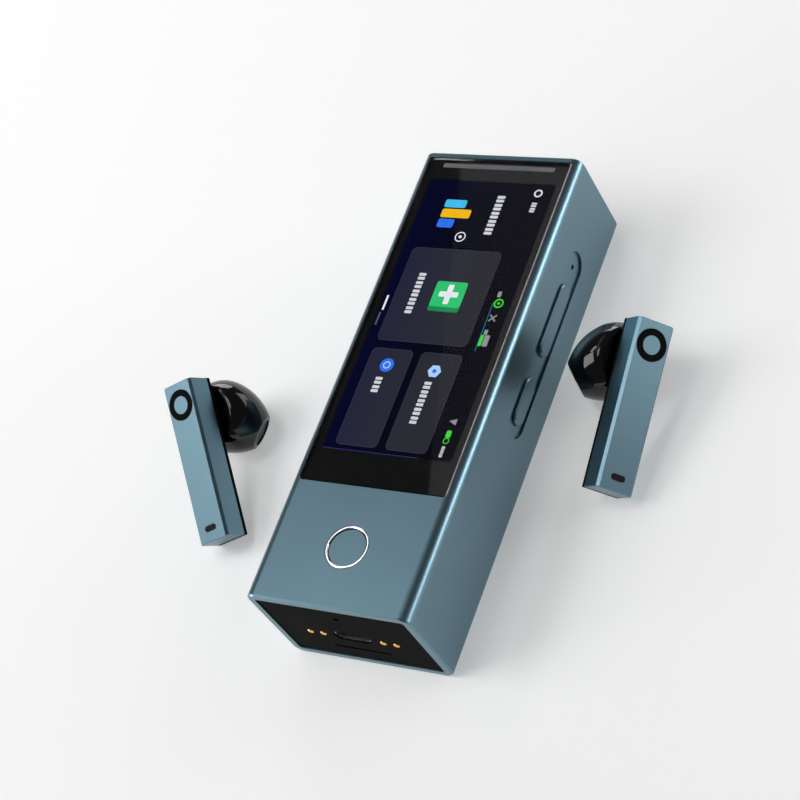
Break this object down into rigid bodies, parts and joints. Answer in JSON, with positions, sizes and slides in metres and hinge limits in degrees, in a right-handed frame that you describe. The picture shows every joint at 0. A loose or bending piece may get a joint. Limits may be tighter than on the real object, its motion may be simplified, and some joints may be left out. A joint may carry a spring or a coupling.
{
  "type": "handheld translator",
  "caption": "Pocket translator: a square-edged metal bar with a long touch screen, home button, side keys and end port, plus loose wireless stem earbuds.",
  "frame": {"origin": "middle of the hub's back face, on the surface it lies on", "axes": "+Z out of the screen, +Y along the hub towards the lid end, +X towards the side with the keys"},
  "size_m": [0.118, 0.118, 0.027],
  "materials": {
    "teal_aluminium": "satin blue-green anodised, finely blasted",
    "black_polycarbonate": "fine matt moulded",
    "gloss_black": "polished black moulding",
    "screen_glass": "clear cover glass with a polished edge",
    "black_mask": "black printed film",
    "display": "dark touch screen",
    "light_guide": "grey translucent light guide",
    "polished_ring": "polished",
    "gold_contact": "gold plated",
    "steel": "stamped",
    "nickel_magnet": "nickel plated",
    "circuit_board": "solder mask",
    "ribbon": "polyimide film",
    "cell_wrap": "metallised film",
    "dark_mesh": "fine woven mesh",
    "inner_black": "moulded"
  },
  "bodies": {
    "hub": {"housing_tube": "teal_aluminium", "bottom_end_cap": "black_polycarbonate", "cover_glass": "screen_glass", "bezel_mask": "black_mask", "display_panel": "display", "display_ribbon": "ribbon", "status_light_strip": "light_guide", "home_button_ring": "polished_ring", "home_dome_switch": "steel", "side_switch_board": "circuit_board", "side_dome_switches": "steel", "side_microphone": "steel", "dock_contacts": "gold_contact", "usb_receptacle_shell": "steel", "usb_tongue": "inner_black", "bottom_microphone": "steel", "loudspeaker": "inner_black", "antenna_module": "ribbon", "lower_board": "circuit_board", "chassis": "steel", "main_board": "circuit_board", "board_screws": "steel", "shield_cans": "steel", "battery_cell": "cell_wrap", "vibration_motor": "steel", "earbud_cradle": "inner_black", "cradle_magnets": "nickel_magnet", "charge_pin_boards": "circuit_board", "keeper_magnet": "nickel_magnet", "lid_hinge_pin": "steel"},
    "home_button": {"home_button_cap": "teal_aluminium"},
    "rocker": {"volume_rocker": "teal_aluminium"},
    "power_button": {"power_key": "teal_aluminium"},
    "lid": {"top_lid": "black_polycarbonate", "lid_magnet": "nickel_magnet"},
    "left_pins": {"left_charge_pins": "gold_contact"},
    "right_pins": {"right_charge_pins": "gold_contact"},
    "left_earbud": {"left_stem_shell": "teal_aluminium", "left_stem_back_cover": "black_polycarbonate", "left_touch_ring": "black_polycarbonate", "left_stem_microphone_mesh": "dark_mesh", "left_stem_contacts": "gold_contact", "left_stem_board": "circuit_board", "left_bud_shell": "gloss_black", "left_bud_front_cap": "gloss_black", "left_bud_grille": "dark_mesh", "left_bud_driver": "inner_black", "left_bud_battery": "steel"},
    "right_earbud": {"right_stem_shell": "teal_aluminium", "right_stem_back_cover": "black_polycarbonate", "right_touch_ring": "black_polycarbonate", "right_stem_microphone_mesh": "dark_mesh", "right_stem_contacts": "gold_contact", "right_stem_board": "circuit_board", "right_bud_shell": "gloss_black", "right_bud_front_cap": "gloss_black", "right_bud_grille": "dark_mesh", "right_bud_driver": "inner_black", "right_bud_battery": "steel"}
  },
  "joints": [
    {"name": "lid_hinge", "type": "hinge", "parent": "hub", "child": "lid", "pos_m": [0, 0.0578, 0.00297], "axis": [-1, 0, 0], "range_deg": [0, 90]},
    {"name": "home_button_press", "type": "slide", "parent": "hub", "child": "home_button", "axis": [0, 0, -1], "range_m": [0, 0.00035], "stiffness_N_per_m": 200},
    {"name": "volume_rocker_tilt", "type": "hinge", "parent": "hub", "child": "rocker", "pos_m": [0.0179, 0.0239, 0.01328], "axis": [0, 0, 1], "range_deg": [-1.5, 1.5], "stiffness_Nm_per_rad": 0.02},
    {"name": "power_key_press", "type": "slide", "parent": "hub", "child": "power_button", "axis": [-1, 0, 0], "range_m": [0, 0.00035], "stiffness_N_per_m": 200},
    {"name": "left_charge_pins_press", "type": "slide", "parent": "hub", "child": "left_pins", "axis": [0, 0, 1], "range_m": [0, 0.0006], "stiffness_N_per_m": 60},
    {"name": "right_charge_pins_press", "type": "slide", "parent": "hub", "child": "right_pins", "axis": [0, 0, 1], "range_m": [0, 0.0006], "stiffness_N_per_m": 60},
    {"name": "left_earbud_lift", "type": "slide", "parent": "hub", "child": "left_earbud", "axis": [0, 0, 1], "range_m": [0, 0.06]},
    {"name": "right_earbud_lift", "type": "slide", "parent": "hub", "child": "right_earbud", "axis": [0, 0, 1], "range_m": [0, 0.06]}
  ]
}
